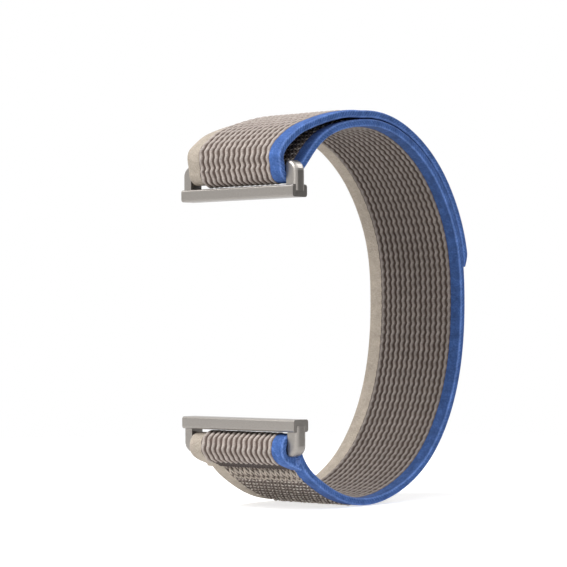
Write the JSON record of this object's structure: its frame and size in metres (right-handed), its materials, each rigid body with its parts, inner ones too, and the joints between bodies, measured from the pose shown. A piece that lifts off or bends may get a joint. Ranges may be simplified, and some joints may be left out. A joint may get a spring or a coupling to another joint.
{
  "type": "watch strap",
  "caption": "Woven hook-and-loop watch strap with blue and cream edges, closed in a wrist loop between two slide-in lugs with sprung latches.",
  "frame": {"origin": "centre of the watch case, midway between the two cross bars and in the middle of the strap's width", "axes": "+Z towards the upper bar, where the tail folds back; +X from the dial towards the wrist; -Y towards the blue edge"},
  "size_m": [0.051, 0.0264, 0.0686],
  "materials": {
    "blue_yarn": "smooth woven selvedge",
    "taupe_yarn": "wavy woven ridges",
    "cream_yarn": "smooth woven selvedge",
    "lug_metal": "satin",
    "steel": "polished",
    "spring_wire": "drawn",
    "elastomer": "matt",
    "hook_nylon": "moulded hooks",
    "seam_thread": "dense thread"
  },
  "bodies": {
    "band": {"band_blue_selvedge": "blue_yarn", "band_ground_weave": "taupe_yarn", "band_cream_selvedge": "cream_yarn", "flap_seam_thread": "seam_thread"},
    "tail": {"fold_blue_selvedge": "blue_yarn", "fold_ground_weave": "taupe_yarn", "fold_cream_selvedge": "cream_yarn", "tail_blue_selvedge": "blue_yarn", "tail_ground_weave": "taupe_yarn", "tail_cream_selvedge": "cream_yarn", "hook_patch": "hook_nylon"},
    "upper_lug": {"upper_lug_body": "lug_metal", "upper_cross_bar": "steel", "upper_latch_keeper": "steel", "upper_latch_spring": "spring_wire", "upper_bumper_near": "elastomer", "upper_bumper_far": "elastomer"},
    "upper_latch": {"upper_latch_plunger": "steel"},
    "lower_lug": {"lower_lug_body": "lug_metal", "lower_cross_bar": "steel", "lower_latch_keeper": "steel", "lower_latch_spring": "spring_wire", "lower_bumper_near": "elastomer", "lower_bumper_far": "elastomer"},
    "lower_latch": {"lower_latch_plunger": "steel"}
  },
  "joints": [
    {"name": "upper_lug_swivel", "type": "hinge", "parent": "band", "child": "upper_lug", "pos_m": [0, 0, 0.0235], "axis": [0, 1, 0], "range_deg": [-30, 30]},
    {"name": "lower_lug_swivel", "type": "hinge", "parent": "band", "child": "lower_lug", "pos_m": [0, 0, -0.0235], "axis": [0, 1, 0], "range_deg": [-30, 30]},
    {"name": "tail_peel", "type": "hinge", "parent": "band", "child": "tail", "pos_m": [0, 0, 0.0235], "axis": [0, -1, 0], "range_deg": [0, 60], "deforming": ["fold_blue_selvedge", "fold_ground_weave", "fold_cream_selvedge"]},
    {"name": "upper_latch_press", "type": "slide", "parent": "upper_lug", "child": "upper_latch", "axis": [-1, 0, 0], "range_m": [0, 0.0007], "stiffness_N_per_m": 600, "springref_m": -0.0005, "deforming": ["upper_latch_spring"]},
    {"name": "lower_latch_press", "type": "slide", "parent": "lower_lug", "child": "lower_latch", "axis": [-1, 0, 0], "range_m": [0, 0.0007], "stiffness_N_per_m": 600, "springref_m": -0.0005, "deforming": ["lower_latch_spring"]}
  ]
}
